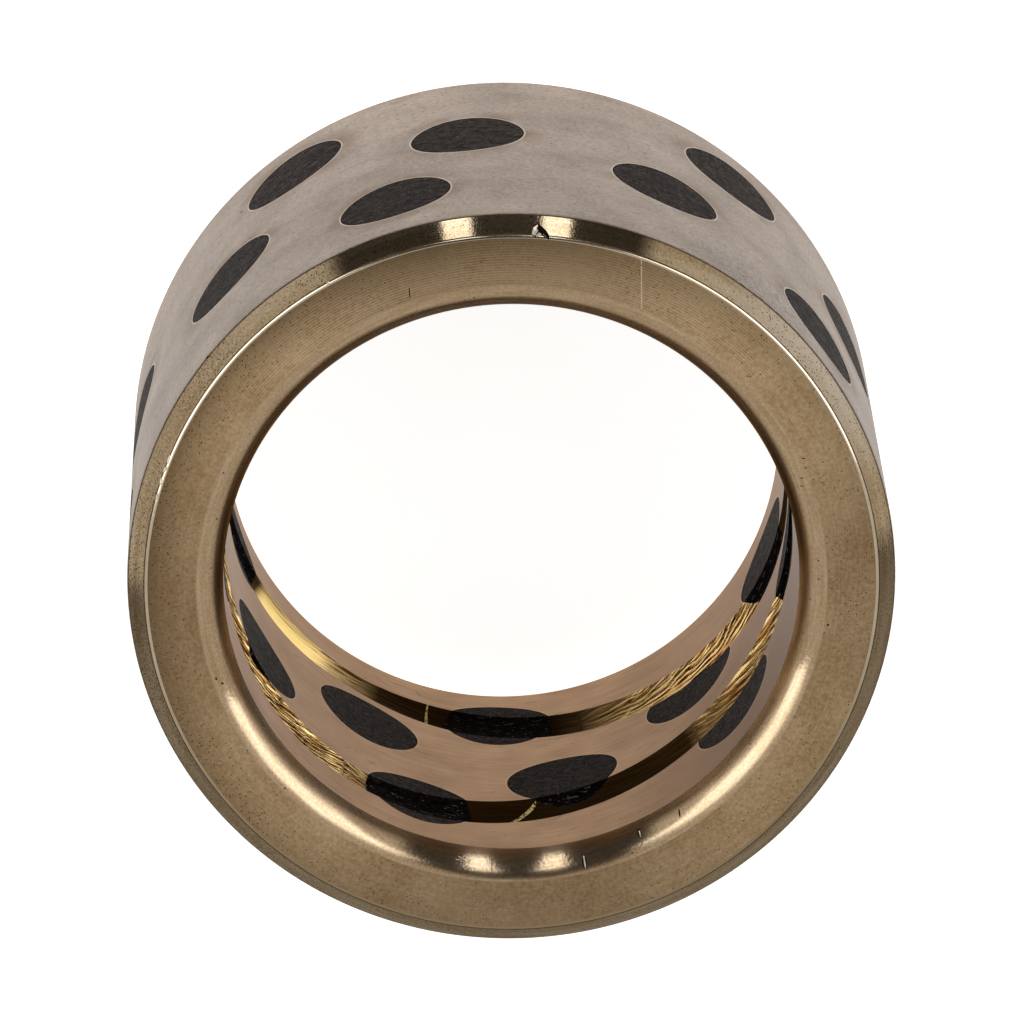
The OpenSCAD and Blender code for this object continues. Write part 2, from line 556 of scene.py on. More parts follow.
def round_the_axis(tree, place, run, pitch):
    """Place stretched so that a pattern on it becomes marks that run round the axis, in mm."""
    axes = add_node(tree, "ShaderNodeSeparateXYZ", {0: place})
    radius = from_axis(tree, place)
    # Radius and height together change along the wall's section on every one of its faces
    section = add_node(
        tree, "ShaderNodeMath", {0: axes.outputs["Z"], 1: 0.6, 2: radius}, operation="MULTIPLY_ADD"
    )
    spread = add_node(
        tree, "ShaderNodeCombineXYZ", {"X": axes.outputs["X"], "Y": axes.outputs["Y"], "Z": section}
    )
    return add_node(
        tree, "ShaderNodeVectorMath", {0: spread, 1: (1 / run, 1 / run, 1 / pitch)}, operation="MULTIPLY"
    )


def from_plug_edge(tree, place):
    """Distance in mm from the edge of the nearest plug, measured across the plug's axis."""
    axes = add_node(tree, "ShaderNodeSeparateXYZ", {0: place})
    angle = add_node(
        tree, "ShaderNodeMath", {0: axes.outputs["Y"], 1: axes.outputs["X"]}, operation="ARCTAN2"
    )
    radius = from_axis(tree, place)
    nearest = None
    rows = {round(height / MM): turn for turn, height, _ in plug_places.values()}
    half_pitch = pi * len(rows) / len(plug_places)
    for height, turn in rows.items():
        aside = add_node(tree, "ShaderNodeMath", {0: angle, 1: turn}, operation="SUBTRACT")
        aside = add_node(
            tree, "ShaderNodeMath", {0: aside, 1: half_pitch, 2: -half_pitch}, operation="WRAP"
        )
        aside = add_node(tree, "ShaderNodeMath", {0: aside}, operation="SINE")
        aside = add_node(tree, "ShaderNodeMath", {0: aside, 1: radius}, operation="MULTIPLY")
        above = add_node(tree, "ShaderNodeMath", {0: axes.outputs["Z"], 1: height}, operation="SUBTRACT")
        apart = add_node(tree, "ShaderNodeCombineXYZ", {"X": aside, "Y": above})
        apart = add_node(tree, "ShaderNodeVectorMath", {0: apart}, operation="LENGTH")
        if nearest is None:
            nearest = apart
        else:
            nearest = add_node(tree, "ShaderNodeMath", {0: nearest, 1: apart}, operation="MINIMUM")
    return add_node(tree, "ShaderNodeMath", {0: nearest, 1: hole_radius / MM}, operation="SUBTRACT")


def pits(tree, place, spacing, size, keep):
    """Round specks of that size in mm: 1 in a speck, 0 round it. Keep is the share of cells with one."""
    cells = add_node(
        tree, "ShaderNodeTexVoronoi", {"Vector": place, "Scale": 1 / spacing, "Randomness": 1}
    )
    dot = add_node(
        tree, "ShaderNodeMapRange",
        {"Value": cells, "From Min": size / spacing * 0.6,
         "From Max": size / spacing, "To Min": 1, "To Max": 0},
    )
    lot = add_node(tree, "ShaderNodeSeparateColor", {0: cells.outputs["Color"]})
    chosen = add_node(tree, "ShaderNodeMath", {0: lot, 1: keep}, operation="LESS_THAN")
    return add_node(tree, "ShaderNodeMath", {0: dot, 1: chosen}, operation="MULTIPLY")


def dirt_mask(tree, place, low, high):
    """Share of dirt from 0 to 1 in clouds some 7 mm across, between two values of the noise."""
    cloud = add_node(tree, "ShaderNodeTexNoise", {"Vector": place, "Scale": 1 / 7, "Detail": 3})
    return add_node(tree, "ShaderNodeMapRange", {"Value": cloud, "From Min": low, "From Max": high})


def short_marks(tree, place, length, width, share):
    """Short dark marks in all directions, of that length and width in mm: 1 on a mark."""
    bend = add_node(tree, "ShaderNodeTexNoise", {"Vector": place, "Scale": 1 / 5, "Detail": 1})
    bent = add_node(
        tree, "ShaderNodeVectorMath", {0: bend.outputs["Color"], 1: (6, 6, 6), 2: place},
        operation="MULTIPLY_ADD",
    )
    thin = add_node(
        tree, "ShaderNodeMapping",
        {"Vector": bent, "Rotation": (0.5, 0.7, 0.4),
         "Scale": (1 / length, 1 / length, 1 / width)},
    )
    grain = add_node(tree, "ShaderNodeTexNoise", {"Vector": thin, "Scale": 1, "Detail": 2})
    return add_node(
        tree, "ShaderNodeMapRange", {"Value": grain, "From Min": 1 - share, "From Max": 1 - share + 0.06}
    )


def ground_outside():
    """Cast bronze ground to size and slightly oxidised. Looks matte and pinkish grey, with faint
    clouds and marks, cast pores, a pale burr at each plug and brown stains of crept glue."""
    finish, tree, shader, place = new_finish("ground_bronze_outside")
    cloud = add_node(tree, "ShaderNodeTexNoise", {"Vector": place, "Scale": 1 / 7, "Detail": 5})
    bands = add_node(
        tree, "ShaderNodeTexNoise",
        {"Vector": round_the_axis(tree, place, 18, 1.5), "Scale": 1, "Detail": 4},
    )
    fine = add_node(tree, "ShaderNodeTexNoise", {"Vector": place, "Scale": 1 / 0.45, "Detail": 3})
    tone = add_node(tree, "ShaderNodeMath", {0: bands, 1: 0.3, 2: cloud}, operation="MULTIPLY_ADD")
    tone = add_node(tree, "ShaderNodeMath", {0: fine, 1: 0.9, 2: tone}, operation="MULTIPLY_ADD")
    tone, colour = two_paints(tree, tone, 0.8, 1.4, "#746558", "#9c8d80")
    away = from_plug_edge(tree, place)
    stain = add_node(
        tree, "ShaderNodeMapRange",
        {"Value": away, "From Min": 0, "From Max": 3, "To Min": 1, "To Max": 0},
        interpolation_type="SMOOTHSTEP",
    )
    creep = add_node(tree, "ShaderNodeTexNoise", {"Vector": place, "Scale": 1 / 5, "Detail": 4})
    creep = add_node(
        tree, "ShaderNodeMapRange",
        {"Value": creep, "From Min": 0.38, "From Max": 0.6, "To Min": 0, "To Max": 0.9},
    )
    stain = add_node(tree, "ShaderNodeMath", {0: stain, 1: creep}, operation="MULTIPLY")
    burr = add_node(
        tree, "ShaderNodeMapRange",
        {"Value": away, "From Min": 0.12, "From Max": 0.24, "To Min": 0.55, "To Max": 0},
    )
    dirty = dirt_mask(tree, place, 0.42, 0.62)
    # One patch near the chamfer is scuffed all over
    apart = add_node(
        tree, "ShaderNodeVectorMath", {0: place, 1: (-27.5, -29, 47.5)}, operation="DISTANCE"
    )
    scuffed = add_node(
        tree, "ShaderNodeMapRange",
        {"Value": apart, "From Min": 4, "From Max": 11, "To Min": 1, "To Max": 0},
    )
    dirty = add_node(tree, "ShaderNodeMath", {0: dirty, 1: scuffed}, operation="MAXIMUM")
    marks = short_marks(tree, place, 0.8, 0.24, 0.44)
    marks = add_node(tree, "ShaderNodeMath", {0: marks, 1: dirty}, operation="MULTIPLY")
    strength = add_node(tree, "ShaderNodeMath", {0: scuffed, 1: 0.5, 2: 0.35}, operation="MULTIPLY_ADD")
    marks = add_node(tree, "ShaderNodeMath", {0: marks, 1: strength}, operation="MULTIPLY")
    crowd = add_node(tree, "ShaderNodeMath", {0: scuffed, 1: 0.6}, operation="MULTIPLY")
    specks = pits(tree, place, 0.4, 0.13, crowd)
    pores = pits(tree, place, 0.9, 0.15, 0.2)
    grit = add_node(
        tree, "ShaderNodeTexNoise",
        {"Vector": round_the_axis(tree, place, 1.2, 0.25), "Scale": 1, "Detail": 3},
    )
    relief = add_node(tree, "ShaderNodeMath", {0: pores, 1: -2, 2: grit}, operation="MULTIPLY_ADD")
    bump = add_node(tree, "ShaderNodeBump", {"Height": relief, "Strength": 0.5, "Distance": 0.022 * MM})
    colour = covered(tree, colour, [
        (stain, paint("#6a5238")),
        (burr, paint("#beb2a4")),
        (marks, paint("#4a3f37")),
        (specks, paint("#4a3f37")),
        (pores, paint("#2f2721")),
    ])
    set_inputs(tree, shader, {
        "Base Color": colour, "Metallic": 1, "Roughness": 0.5, "Normal": bump,
    })
    return finish


def polished_chamfer():
    """Bronze cut by a sharp form tool. Looks like a dull mirror, with a fine mottle and small
    dark specks where it has been handled."""
    finish, tree, shader, place = new_finish("polished_bronze_chamfer")
    lines = add_node(
        tree, "ShaderNodeTexNoise",
        {"Vector": round_the_axis(tree, place, 14, 0.3), "Scale": 1, "Detail": 3},
    )
    mottle = add_node(tree, "ShaderNodeTexNoise", {"Vector": place, "Scale": 1 / 0.24, "Detail": 3})
    tone = add_node(tree, "ShaderNodeMath", {0: lines, 1: mottle}, operation="ADD")
    tone, colour = two_paints(tree, tone, 0.75, 1.25, "#c6ab84", "#f8e6c8")
    # The side that lay on the bench has caught the most dirt
    axes = add_node(tree, "ShaderNodeSeparateXYZ", {0: place})
    soiled = add_node(
        tree, "ShaderNodeMapRange",
        {"Value": axes.outputs["X"], "From Min": -10, "From Max": 36, "To Min": 0.12, "To Max": 0.8},
    )
    # One stretch is rubbed matt and pale
    apart = add_node(tree, "ShaderNodeVectorMath", {0: place, 1: (-32, -22, 51)}, operation="DISTANCE")
    rubbed = add_node(
        tree, "ShaderNodeMapRange",
        {"Value": apart, "From Min": 7, "From Max": 15, "To Min": 0.42, "To Max": 0},
    )
    mirror = add_node(tree, "ShaderNodeMath", {0: 1, 1: rubbed}, operation="SUBTRACT")
    soiled = add_node(tree, "ShaderNodeMath", {0: soiled, 1: rubbed}, operation="MAXIMUM")
    specks = pits(tree, place, 0.24, 0.085, soiled)
    specks = add_node(
        tree, "ShaderNodeMath", {0: specks, 1: dirt_mask(tree, place, 0.34, 0.48)}, operation="MULTIPLY"
    )
    bump = add_node(tree, "ShaderNodeBump", {"Height": tone, "Strength": 0.5, "Distance": 0.0025 * MM})
    colour = covered(tree, colour, [
        (rubbed, paint("#f0e8dc")),
        (specks, paint("#4b3d2c")),
    ])
    set_inputs(tree, shader, {
        "Metallic": mirror, "Base Color": colour, "Roughness": 0.06,
        "Normal": bump,
    })
    return finish


def faced_end():
    """Bronze faced on a lathe. Looks satin and olive tan, with the tool's fine rings, a fan of
    light across them, cast pores and dark specks of dirt."""
    finish, tree, shader, place = new_finish("faced_bronze_end")
    feed = add_node(
        tree, "ShaderNodeTexWave",
        {"Vector": place, "Scale": 0.314 / 0.28, "Distortion": 0.8, "Detail": 2, "Detail Scale": 0.4},
        wave_type="RINGS", rings_direction="Z",
    )
    rings = add_node(
        tree, "ShaderNodeTexNoise",
        {"Vector": round_the_axis(tree, place, 40, 0.22), "Scale": 1, "Detail": 2},
    )
    grain = add_node(tree, "ShaderNodeTexNoise", {"Vector": place, "Scale": 1 / 0.35, "Detail": 4})
    cloud = add_node(tree, "ShaderNodeTexNoise", {"Vector": place, "Scale": 1 / 8, "Detail": 4})
    # Handling has rubbed the rings away but for one side
    axes = add_node(tree, "ShaderNodeSeparateXYZ", {0: place})
    kept = add_node(
        tree, "ShaderNodeMapRange",
        {"Value": axes.outputs["Y"], "From Min": -34, "From Max": -16, "To Min": 0.5, "To Max": 0.07},
    )
    feed = add_node(tree, "ShaderNodeMath", {0: feed.outputs[1], 1: kept}, operation="MULTIPLY")
    tone = add_node(tree, "ShaderNodeMath", {0: feed, 1: grain}, operation="ADD")
    tone = add_node(tree, "ShaderNodeMath", {0: rings, 1: 0.4, 2: tone}, operation="MULTIPLY_ADD")
    tone = add_node(tree, "ShaderNodeMath", {0: tone, 1: cloud}, operation="ADD")
    tone, colour = two_paints(tree, tone, 0.9, 1.65, "#aa8d68", "#e2c8a4")
    # Handling has dulled the rim beside the chamfer
    radius = from_axis(tree, place)
    rim = add_node(tree, "ShaderNodeMath", {0: cloud, 1: 3, 2: radius}, operation="MULTIPLY_ADD")
    rim = add_node(
        tree, "ShaderNodeMapRange",
        {"Value": rim, "From Min": 35.6, "From Max": 39.6, "To Min": 0, "To Max": 0.5},
    )
    benched = add_node(
        tree, "ShaderNodeMath", {0: axes.outputs["X"], 1: axes.outputs["Y"]}, operation="SUBTRACT"
    )
    benched = add_node(
        tree, "ShaderNodeMapRange",
        {"Value": benched, "From Min": -40, "From Max": 50, "To Min": 0.2, "To Max": 1.7},
    )
    dulled = add_node(tree, "ShaderNodeMath", {0: rim, 1: benched}, operation="MULTIPLY")
    # A fine scratch runs nearly along Y, 13.6 mm from the axis
    aside = add_node(
        tree, "ShaderNodeMath", {0: axes.outputs["Y"], 1: -0.051, 2: axes.outputs["X"]},
        operation="MULTIPLY_ADD",
    )
    scratch = add_node(tree, "ShaderNodeMath", {0: aside, 1: -13.61, 2: 0.06}, operation="COMPARE")
    along = add_node(
        tree, "ShaderNodeMath", {0: axes.outputs["Y"], 1: -31.95, 2: 2.7}, operation="COMPARE"
    )
    scratch = add_node(tree, "ShaderNodeMath", {0: scratch, 1: along}, operation="MULTIPLY")
    scratch = add_node(tree, "ShaderNodeMath", {0: scratch, 1: 0.8}, operation="MULTIPLY")
    # The side that lay on the bench has caught the most dirt, near the rim above all
    soiled = add_node(
        tree, "ShaderNodeMapRange",
        {"Value": axes.outputs["X"], "From Min": 0, "From Max": 34, "To Min": 0.1, "To Max": 1.1},
    )
    soiled = add_node(tree, "ShaderNodeMath", {0: soiled, 1: rim}, operation="MULTIPLY")
    soiled = add_node(
        tree, "ShaderNodeMath", {0: soiled, 1: dirt_mask(tree, place, 0.45, 1.5)}, operation="ADD"
    )
    dirt = pits(tree, place, 0.27, 0.088, soiled)
    tangent = add_node(tree, "ShaderNodeTangent", direction_type="RADIAL", axis="Z")
    relief = add_node(tree, "ShaderNodeMath", {0: grain, 1: 0.5, 2: feed}, operation="MULTIPLY_ADD")
    relief = add_node(tree, "ShaderNodeMath", {0: dirt, 1: -2, 2: relief}, operation="MULTIPLY_ADD")
    bump = add_node(tree, "ShaderNodeBump", {"Height": relief, "Strength": 0.8, "Distance": 0.02 * MM})
    colour = covered(tree, colour, [
        (dulled, paint("#7c6749")),
        (scratch, paint("#fff0d8")),
        (dirt, paint("#4a3a28")),
    ])
    set_inputs(tree, shader, {
        "Base Color": colour, "Metallic": 1, "Roughness": 0.38, "Anisotropic": 0.85,
        "Anisotropic Rotation": 0.25, "Tangent": tangent, "Normal": bump,
    })
    return finish


def burnished_round():
    """Bronze burnished with a roller. Looks smooth and bright, with a soft grain round it and a
    few dark pores."""
    finish, tree, shader, place = new_finish("burnished_bronze_round")
    streaks = add_node(
        tree, "ShaderNodeTexNoise",
        {"Vector": round_the_axis(tree, place, 5, 0.45), "Scale": 1, "Detail": 4},
    )
    mottle = add_node(tree, "ShaderNodeTexNoise", {"Vector": place, "Scale": 1 / 0.3, "Detail": 3})
    tone = add_node(tree, "ShaderNodeMath", {0: streaks, 1: mottle}, operation="ADD")
    tone, colour = two_paints(tree, tone, 0.7, 1.3, "#d2b48e", "#f2dcbc")
    # The lip that faces the bore is darker and mirrors less, more so towards -Y
    axes = add_node(tree, "ShaderNodeSeparateXYZ", {0: place})
    radius = from_axis(tree, place)
    lip = add_node(
        tree, "ShaderNodeMapRange",
        {"Value": radius, "From Min": 30.5, "From Max": 31.3, "To Min": 1, "To Max": 0},
    )
    behind = add_node(
        tree, "ShaderNodeMapRange",
        {"Value": axes.outputs["Y"], "From Min": -2, "From Max": 14, "To Min": 0.75, "To Max": 0},
    )
    darkened_lip = add_node(tree, "ShaderNodeMath", {0: lip, 1: behind}, operation="MULTIPLY")
    glint = add_node(
        tree, "ShaderNodeMix", {0: darkened_lip, 6: paint("#ffffff"), 7: paint("#1c130a")}, data_type="RGBA"
    )
    pores = pits(tree, place, 1.0, 0.12, 0.14)
    tangent = add_node(tree, "ShaderNodeTangent", direction_type="RADIAL", axis="Z")
    bump = add_node(tree, "ShaderNodeBump", {"Height": tone, "Strength": 0.5, "Distance": 0.005 * MM})
    colour = covered(tree, colour, [(darkened_lip, paint("#54402a")), (pores, paint("#3e3020"))])
    set_inputs(tree, shader, {
        "Specular Tint": glint, "Base Color": colour, "Metallic": 1,
        "Roughness": 0.17, "Anisotropic": 1, "Anisotropic Rotation": 0.25,
        "Tangent": tangent, "Normal": bump,
    })
    return finish


def bored_wall():
    """Bronze bored to size. Looks satin and pinkish brown, with fine marks that run round the
    bore, a few slanting scratches and a pale burr at each plug."""
    finish, tree, shader, place = new_finish("bored_bronze_wall")
    marks = add_node(
        tree, "ShaderNodeTexNoise",
        {"Vector": round_the_axis(tree, place, 6, 0.25), "Scale": 1, "Detail": 4},
    )
    cloud = add_node(tree, "ShaderNodeTexNoise", {"Vector": place, "Scale": 1 / 6, "Detail": 4})
    tone = add_node(tree, "ShaderNodeMath", {0: marks, 1: cloud}, operation="ADD")
    tone, colour = two_paints(tree, tone, 0.6, 1.4, "#83684e", "#ab8e72")
    # Painted shade: darker on one side, most towards the end in front
    axes = add_node(tree, "ShaderNodeSeparateXYZ", {0: place})
    aside = add_node(
        tree, "ShaderNodeMapRange", {"Value": axes.outputs["X"], "From Min": -8, "From Max": -24}
    )
    in_front = add_node(
        tree, "ShaderNodeMapRange",
        {"Value": axes.outputs["Z"], "From Min": 12, "From Max": 44, "To Min": 0.2, "To Max": 0.8},
    )
    painted_bore_shade = add_node(tree, "ShaderNodeMath", {0: aside, 1: in_front}, operation="MULTIPLY")
    away = from_plug_edge(tree, place)
    burr = add_node(
        tree, "ShaderNodeMapRange",
        {"Value": away, "From Min": 0.08, "From Max": 0.25, "To Min": 0.35, "To Max": 0},
    )
    scratches = short_marks(tree, place, 3.5, 0.16, 0.33)
    pores = pits(tree, place, 1.1, 0.13, 0.16)
    bump = add_node(tree, "ShaderNodeBump", {"Height": marks, "Strength": 0.5, "Distance": 0.02 * MM})
    colour = covered(tree, colour, [
        (painted_bore_shade, paint("#5e493a")),
        (burr, paint("#b8a184")),
        (scratches, paint("#594534")),
        (pores, paint("#3e3020")),
    ])
    set_inputs(tree, shader, {
        "Base Color": colour, "Metallic": 1, "Roughness": 0.36,
        "Specular Tint": paint("#d2c9c4"), "Normal": bump,
    })
    return finish


def milled_groove():
    """Bronze freshly milled and never run. Looks golden and bright, with hair-fine strands inside
    the ridges of the mesh, and nearly black where graphite is smeared along it and shade is painted."""
    finish, tree, shader, place = new_finish("milled_bronze_groove")
    strands = add_node(tree, "ShaderNodeUVMap", uv_map="strands")
    along = add_node(tree, "ShaderNodeMapping", {"Vector": strands, "Scale": (1 / 6, 1 / 0.3, 1)})
    ridges = add_node(
        tree, "ShaderNodeTexNoise", {"Vector": along, "Scale": 1, "Detail": 3}, noise_dimensions="2D"
    )
    # The ridge tops are painted pale as a highlight, and the valleys copper brown as shade
    ridges, colour = two_paints(tree, ridges, 0.3, 0.7, "#a8702a", "#ffe2a0")
    # Graphite smear and painted shade, from 0 to 1
    smear_and_shade = add_node(tree, "ShaderNodeAttribute", attribute_name="graphite_and_painted_shade")
    # Burrs have been dragged across the upper loop in a slanting row, and their glints are painted bright
    # gold
    axes = add_node(tree, "ShaderNodeSeparateXYZ", {0: place})
    row = add_node(
        tree, "ShaderNodeMath", {0: axes.outputs["X"], 1: -1.207, 2: axes.outputs["Z"]},
        operation="MULTIPLY_ADD",
    )
    row = add_node(tree, "ShaderNodeMath", {0: row, 1: 36.7, 2: 0.36}, operation="COMPARE")
    reach = add_node(tree, "ShaderNodeMath", {0: axes.outputs["X"], 1: 1.3, 2: 2.4}, operation="COMPARE")
    burr_glints = add_node(tree, "ShaderNodeMath", {0: row, 1: reach}, operation="MULTIPLY")
    torn = add_node(tree, "ShaderNodeTexNoise", {"Vector": place, "Scale": 1 / 0.45, "Detail": 2})
    shown = add_node(tree, "ShaderNodeMapRange", {"Value": torn, "From Min": 0.42, "From Max": 0.5})
    burr_glints = add_node(tree, "ShaderNodeMath", {0: burr_glints, 1: shown}, operation="MULTIPLY")
    # A scrape across the lower loop, widening upwards, at 37.05 mm round the bore
    run = add_node(tree, "ShaderNodeSeparateXYZ", {0: strands})
    leaning = add_node(
        tree, "ShaderNodeMath", {0: run.outputs["Y"], 1: -0.04, 2: run.outputs["X"]},
        operation="MULTIPLY_ADD",
    )
    width = add_node(
        tree, "ShaderNodeMath", {0: run.outputs["Y"], 1: 0.035, 2: 0.2}, operation="MULTIPLY_ADD"
    )
    scrape = add_node(tree, "ShaderNodeMath", {0: leaning, 1: 37.05, 2: width}, operation="COMPARE")
    # Its burr lies along the loop's upper edge
    edge = add_node(tree, "ShaderNodeMath", {0: run.outputs["Y"], 1: 2.95, 2: 0.25}, operation="COMPARE")
    beside = add_node(tree, "ShaderNodeMath", {0: run.outputs["X"], 1: 38.1, 2: 1.1}, operation="COMPARE")
    lip = add_node(tree, "ShaderNodeMath", {0: edge, 1: beside}, operation="MULTIPLY")
    lip = add_node(tree, "ShaderNodeMath", {0: lip, 1: shown}, operation="MULTIPLY")
    marks = add_node(tree, "ShaderNodeMath", {0: scrape, 1: lip}, operation="MAXIMUM")
    marks = add_node(tree, "ShaderNodeMath", {0: marks, 1: burr_glints}, operation="MAXIMUM")
    bright = add_node(tree, "ShaderNodeMapRange", {"Value": torn, "From Min": 0.36, "From Max": 0.56})
    gold = add_node(
        tree, "ShaderNodeMix", {0: bright, 6: paint("#c8901c"), 7: paint("#fff4b0")}, data_type="RGBA"
    )
    smooth = add_node(tree, "ShaderNodeAttribute", attribute_name="smooth_cut")
    # Smeared graphite and painted shade hide the metal and are duller
    bare = add_node(tree, "ShaderNodeMath", {0: 1, 1: smear_and_shade.outputs["Fac"]}, operation="SUBTRACT")
    hazy = add_node(
        tree, "ShaderNodeMath", {0: smear_and_shade.outputs["Fac"], 1: smooth.outputs["Fac"]}, operation="MAXIMUM"
    )
    dullness = add_node(tree, "ShaderNodeMath", {0: hazy, 1: 0.2, 2: 0.18}, operation="MULTIPLY_ADD")
    bump = add_node(tree, "ShaderNodeBump", {"Height": ridges, "Strength": 0.6, "Distance": 0.05 * MM})
    colour = covered(tree, colour, [
        (smear_and_shade.outputs["Fac"], paint("#2a1806")),
        (smooth.outputs["Fac"], paint("#ffe092")),
        (marks, gold),
    ])
    set_inputs(tree, shader, {
        "Base Color": colour, "Metallic": bare, "Roughness": dullness,
        "Specular IOR Level": 0, "Normal": bump,
    })
    return finish


def drilled_hole():
    """Drilled bronze under a film of old glue, painted near black as the shade in the gap round each
    plug. Looks like a thin black line round each plug.
    """
    finish, tree, shader, place = new_finish("glued_and_shaded_bronze_hole")
    grain = add_node(tree, "ShaderNodeTexNoise", {"Vector": place, "Scale": 2, "Detail": 2})
    colour = add_node(
        tree, "ShaderNodeMix", {0: grain, 6: paint("#0f0c0a"), 7: paint("#2a2018")}, data_type="RGBA"
    )
    set_inputs(tree, shader, {
        "Base Color": colour, "Roughness": 0.7, "Specular IOR Level": 0.1,
    })
    return finish


def burnished_corner():
    """The corner between the end face and the chamfer, rubbed bright. Looks like a thin line of
    light round the end."""
    finish, tree, shader, place = new_finish("burnished_bronze_corner")
    worn = add_node(tree, "ShaderNodeTexNoise", {"Vector": place, "Scale": 1 / 1.5, "Detail": 3})
    colour = add_node(
        tree, "ShaderNodeMix", {0: worn, 6: paint("#ecd6b2"), 7: paint("#fffaf0")}, data_type="RGBA"
    )
    # Painted shade: the corner is darker towards +Y
    axes = add_node(tree, "ShaderNodeSeparateXYZ", {0: place})
    painted_corner_shade = add_node(
        tree, "ShaderNodeMapRange",
        {"Value": axes.outputs["Y"], "From Min": 6, "From Max": 26, "To Min": 0, "To Max": 0.85},
    )
    colour = covered(tree, colour, [(painted_corner_shade, paint("#b09a78"))])
    set_inputs(tree, shader, {
        "Base Color": colour, "Metallic": 1, "Roughness": 0.12,
    })
    return finish


def painted_shadow_line():
    """The strip of a broken corner beside the chamfer, painted dark as a thin line of shadow. Looks like
    a thin dark line.
    """
    finish, tree, shader, place = new_finish("painted_shadow_bronze_line")
    worn = add_node(tree, "ShaderNodeTexNoise", {"Vector": place, "Scale": 1 / 1.5, "Detail": 3})
    colour = add_node(
        tree, "ShaderNodeMix", {0: worn, 6: paint("#2c2216"), 7: paint("#8a7454")}, data_type="RGBA"
    )
    set_inputs(tree, shader, {
        "Base Color": colour, "Metallic": 1, "Roughness": 0.4,
    })
    return finish


def dirt_and_painted_shade():
    """Dirt packed in pits and beside nicks, and painted shade in their hollows and edges. Looks black
    brown and dull.
    """
    finish, tree, shader, place = new_finish("dirt_and_painted_shade")
    grain = add_node(tree, "ShaderNodeTexNoise", {"Vector": place, "Scale": 1 / 0.3, "Detail": 2})
    colour = add_node(
        tree, "ShaderNodeMix", {0: grain, 6: paint("#080604"), 7: paint("#2a2015")}, data_type="RGBA"
    )
    set_inputs(tree, shader, {
        "Base Color": colour, "Roughness": 0.8, "Specular IOR Level": 0.1,
    })
    return finish


def torn_nick():
    """Bare bronze where it has been knocked or torn. Looks like small bright and black facets."""
    finish, tree, shader, place = new_finish("torn_bronze_nick")
    grain = add_node(tree, "ShaderNodeTexNoise", {"Vector": place, "Scale": 1 / 0.2, "Detail": 2})
    colour = add_node(
        tree, "ShaderNodeMix", {0: grain, 6: paint("#f4e6c8"), 7: paint("#fffaf0")}, data_type="RGBA"
    )
    # Torn metal scatters light like a pale powder as well as mirroring it
    bump = add_node(tree, "ShaderNodeBump", {"Height": grain, "Strength": 0.6, "Distance": 0.02 * MM})
    set_inputs(tree, shader, {
        "Base Color": colour, "Metallic": 0.4, "Roughness": 0.25, "Normal": bump,
    })
    return finish


def dress_groove(piece):
    """Lays the strands along the groove as a UV map in mm, and marks where graphite is smeared and shade
    is painted.
    """
    mesh = piece.data
    strands = [(0, 0)] * len(mesh.loops)
    smear_and_shade = [0] * len(mesh.loops)
    smooth = [0] * len(mesh.loops)
    for face in mesh.polygons:
        if face.material_index != GROOVE:
            continue
        middle = atan2(face.center.y, face.center.x) % tau
        side = nearer_loop(middle, face.center.z)
        for loop in face.loop_indices:
            spot = mesh.vertices[mesh.loops[loop].vertex_index].co
            angle = middle + (atan2(spot.y, spot.x) - middle + pi) % tau - pi
            strands[loop] = strand_place(side, angle, spot.z)
            smear_and_shade[loop] = along_stops(smear_and_shade_stops[side], angle)
            smooth[loop] = along_stops(smooth_cuts[side], angle)
    for name, values in (("graphite_and_painted_shade", smear_and_shade), ("smooth_cut", smooth)):
        mesh.attributes.new(name, "FLOAT", "CORNER")
        mesh.attributes[name].data.foreach_set("value", values)
    mesh.uv_layers.new(name="strands")
    mesh.uv_layers["strands"].data.foreach_set("uv", [number for pair in strands for number in pair])


bronze_finishes = [
    ground_outside(),
    polished_chamfer(),
    faced_end(),
    burnished_round(),
    bored_wall(),
    milled_groove(),
    drilled_hole(),
    torn_nick(),
    burnished_corner(),
    painted_shadow_line(),
    dirt_and_painted_shade(),
]
sleeve = add_piece("bronze_sleeve", turned_sleeve(), bronze_finishes)
hole_places = [(turn, height) for turn, height, _ in plug_places.values()]
drill = add_piece("drill", wall_bars(hole_places, hole_radius, HOLE), bronze_finishes)
upper_cutter = add_piece("upper_cutter", groove_cutter(1), bronze_finishes)
lower_cutter = add_piece("lower_cutter", groove_cutter(-1), bronze_finishes)
# The lumps cross one another, so they are joined to one tool before they cut the sleeve
dirt_and_shade_tool, nick_tool = (
    add_piece("nick_tool", nick_cutter(finish, nicks), bronze_finishes) for finish, nicks in nick_layers
)
cut_with(dirt_and_shade_tool, nick_tool, "UNION", crossed=True)
for tool in (dirt_and_shade_tool, drill, upper_cutter, lower_cutter):
    cut_with(sleeve, tool)
true_normals(sleeve)
dress_groove(sleeve)
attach(sleeve, "root")
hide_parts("sleeve")

# Graphite plugs
# Round sticks of pressed graphite, glued in the drilled holes and machined flush with the outside
# and the bore, so that the oil groove runs through those that lie in its way.
glue_gap = 0.08 * MM


